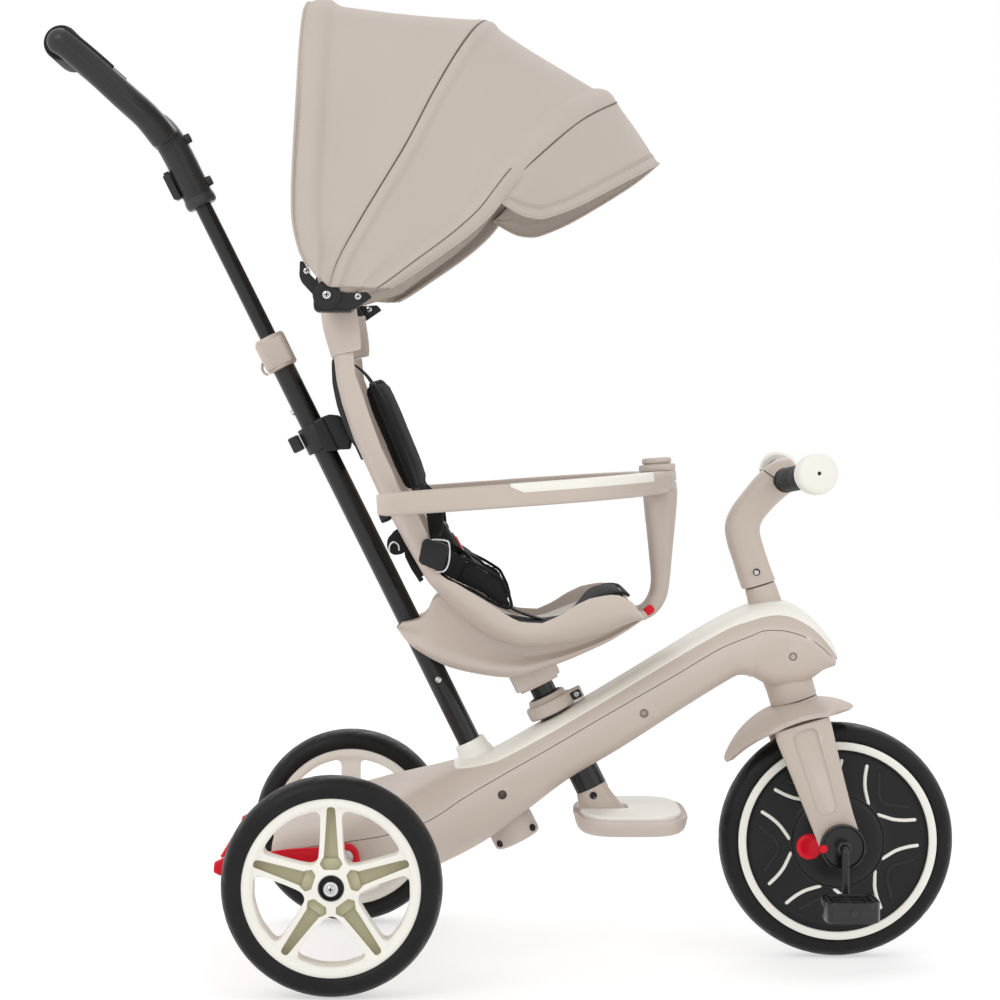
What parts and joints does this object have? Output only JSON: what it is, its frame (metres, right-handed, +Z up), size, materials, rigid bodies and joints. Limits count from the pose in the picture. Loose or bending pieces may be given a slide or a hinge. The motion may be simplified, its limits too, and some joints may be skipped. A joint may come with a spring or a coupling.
{
  "type": "children's tricycle",
  "caption": "Children's tricycle with pedalled front wheel, adjustable seat with safety ring and harness, folding canopy, footrest and telescoping parent push bar.",
  "frame": {"origin": "on the ground, under the middle of the overall length and width", "axes": "+X forward, +Y to the rider's left, +Z up"},
  "size_m": [0.9586, 0.499, 1.022],
  "materials": {
    "beige_plastic": "moulded, satin with a fine spark-eroded grain",
    "cream_plastic": "moulded, satin",
    "black_plastic": "moulded, fine texture",
    "red_plastic": "moulded, glossy",
    "black_metal": "powder-coated black, semi-gloss",
    "bright_steel": "zinc plated",
    "tyre_rubber": "foamed rubber with a shallow tread",
    "grip_rubber": "soft rubber",
    "black_fabric": "woven polyester",
    "tan_fabric": "woven polyester canvas"
  },
  "bodies": {
    "frame": {"frame_lower_shell": "beige_plastic", "frame_upper_shell": "beige_plastic", "frame_top_trim": "cream_plastic", "frame_fasteners": "bright_steel", "head_bushes": "black_plastic", "seat_tube": "black_metal", "seat_clamp": "beige_plastic", "bar_boss": "beige_plastic", "rear_axle": "bright_steel", "bar_lower_tube": "black_metal", "bar_collar": "beige_plastic", "footrest_column": "beige_plastic"},
    "brake": {"brake_pedal": "red_plastic"},
    "rear_wheel_left": {"rear_tyre_left": "tyre_rubber", "rear_rim_left": "cream_plastic"},
    "rear_wheel_right": {"rear_tyre_right": "tyre_rubber", "rear_rim_right": "cream_plastic"},
    "footrest": {"footrest_platform": "beige_plastic", "footrest_pad": "cream_plastic"},
    "steering": {"fork": "beige_plastic", "mudguard": "beige_plastic", "fork_caps": "black_plastic", "stem": "beige_plastic", "handlebar": "black_metal", "grips": "grip_rubber", "bar_ends": "cream_plastic"},
    "front_wheel": {"front_tyre": "tyre_rubber", "front_discs": "black_plastic", "front_inlays": "cream_plastic"},
    "clutch": {"clutch_button": "red_plastic"},
    "cranks": {"crank": "black_metal"},
    "left_pedal": {"pedal_left": "black_plastic"},
    "right_pedal": {"pedal_right": "black_plastic"},
    "seat": {"seat_post": "black_metal", "seat_base": "beige_plastic", "seat_shell": "beige_plastic", "seat_insert": "cream_plastic", "seat_pad": "black_fabric", "harness_straps": "black_fabric", "harness_pads": "black_fabric", "buckle": "black_plastic", "bar_clip": "black_plastic", "safety_post": "beige_plastic", "canopy_mount": "beige_plastic", "canopy_brackets": "black_plastic", "rear_bow": "black_plastic", "canopy_rear_cover": "tan_fabric"},
    "harness_release": {"buckle_button": "red_plastic"},
    "clip_release": {"clip_lever": "black_plastic"},
    "ring_release": {"safety_button": "red_plastic"},
    "arm_left": {"safety_arm_left": "beige_plastic"},
    "arm_right": {"safety_arm_right": "beige_plastic"},
    "canopy_middle": {"middle_bow": "black_plastic"},
    "canopy_front": {"front_bow": "black_plastic", "canopy_front_cover": "tan_fabric"},
    "visor": {"canopy_visor": "tan_fabric"},
    "push_handle": {"bar_upper_tube": "black_metal", "handle": "black_plastic", "handle_grip": "grip_rubber"},
    "handle_release": {"handle_button": "black_plastic"}
  },
  "joints": [
    {"name": "steer", "type": "hinge", "parent": "frame", "child": "steering", "pos_m": [0.35425, 0, 0.125], "axis": [-0.2874, 0, 0.9578], "range_deg": [-30, 30]},
    {"name": "front_wheel_spin", "type": "hinge", "parent": "steering", "child": "front_wheel", "pos_m": [0.35425, 0, 0.125], "axis": [0, 1, 0], "continuous": true},
    {"name": "crank_spin", "type": "hinge", "parent": "steering", "child": "cranks", "pos_m": [0.35425, 0, 0.125], "axis": [0, 1, 0], "continuous": true},
    {"name": "left_pedal_spin", "type": "hinge", "parent": "cranks", "child": "left_pedal", "pos_m": [0.35425, 0.1245, 0.18], "axis": [0, 1, 0], "continuous": true},
    {"name": "right_pedal_spin", "type": "hinge", "parent": "cranks", "child": "right_pedal", "pos_m": [0.35425, -0.1245, 0.07], "axis": [0, 1, 0], "continuous": true},
    {"name": "clutch_push", "type": "slide", "parent": "front_wheel", "child": "clutch", "axis": [0, 1, 0], "range_m": [0, 0.004], "stiffness_N_per_m": 200},
    {"name": "rear_wheel_left_spin", "type": "hinge", "parent": "frame", "child": "rear_wheel_left", "pos_m": [-0.17275, 0.2225, 0.11], "axis": [0, 1, 0], "continuous": true},
    {"name": "rear_wheel_right_spin", "type": "hinge", "parent": "frame", "child": "rear_wheel_right", "pos_m": [-0.17275, -0.2225, 0.11], "axis": [0, 1, 0], "continuous": true},
    {"name": "brake_press", "type": "hinge", "parent": "frame", "child": "brake", "pos_m": [-0.16075, 0, 0.1315], "axis": [0, -1, 0], "range_deg": [0, 8]},
    {"name": "footrest_fold", "type": "hinge", "parent": "frame", "child": "footrest", "pos_m": [0.08525, 0, 0.149], "axis": [0, -1, 0], "range_deg": [0, 30]},
    {"name": "seat_height", "type": "slide", "parent": "frame", "child": "seat", "axis": [-0.4446, 0, 0.8957], "range_m": [-0.012, 0.04]},
    {"name": "buckle_press", "type": "slide", "parent": "seat", "child": "harness_release", "axis": [-0.8829, 0, -0.4695], "range_m": [0, 0.003], "stiffness_N_per_m": 400},
    {"name": "clip_lever_lift", "type": "hinge", "parent": "seat", "child": "clip_release", "pos_m": [-0.22077, 0, 0.54949], "axis": [0, 1, 0], "range_deg": [0, 35], "stiffness_Nm_per_rad": 0.02},
    {"name": "ring_button_press", "type": "slide", "parent": "seat", "child": "ring_release", "axis": [-0.8192, 0, 0.5736], "range_m": [0, 0.003], "stiffness_N_per_m": 300},
    {"name": "arm_left_open", "type": "hinge", "parent": "seat", "child": "arm_left", "pos_m": [0.16425, 0, 0.506], "axis": [0.0698, 0, -0.9976], "range_deg": [0, 60]},
    {"name": "arm_right_open", "type": "hinge", "parent": "seat", "child": "arm_right", "pos_m": [0.16425, 0, 0.506], "axis": [-0.0698, 0, 0.9976], "range_deg": [0, 60]},
    {"name": "canopy_fold", "type": "hinge", "parent": "seat", "child": "canopy_middle", "pos_m": [-0.18075, 0, 0.698], "axis": [0, -1, 0], "range_deg": [0, 24]},
    {"name": "canopy_front_fold", "type": "hinge", "parent": "canopy_middle", "child": "canopy_front", "pos_m": [-0.18075, 0, 0.698], "axis": [0, -1, 0], "range_deg": [0, 24]},
    {"name": "visor_tilt", "type": "hinge", "parent": "canopy_front", "child": "visor", "pos_m": [0.11464, 0, 0.8833], "axis": [0, -1, 0], "range_deg": [0, 20]},
    {"name": "push_bar_slide", "type": "slide", "parent": "frame", "child": "push_handle", "axis": [0.4446, 0, -0.8957], "range_m": [0, 0.14]},
    {"name": "handle_button_press", "type": "slide", "parent": "push_handle", "child": "handle_release", "axis": [0.8957, 0, 0.4446], "range_m": [0, 0.003], "stiffness_N_per_m": 300}
  ],
  "couplings": [
    {"joint": "crank_spin", "follows": "front_wheel_spin", "ratio": 1},
    {"joint": "canopy_front_fold", "follows": "canopy_fold", "ratio": 1}
  ]
}
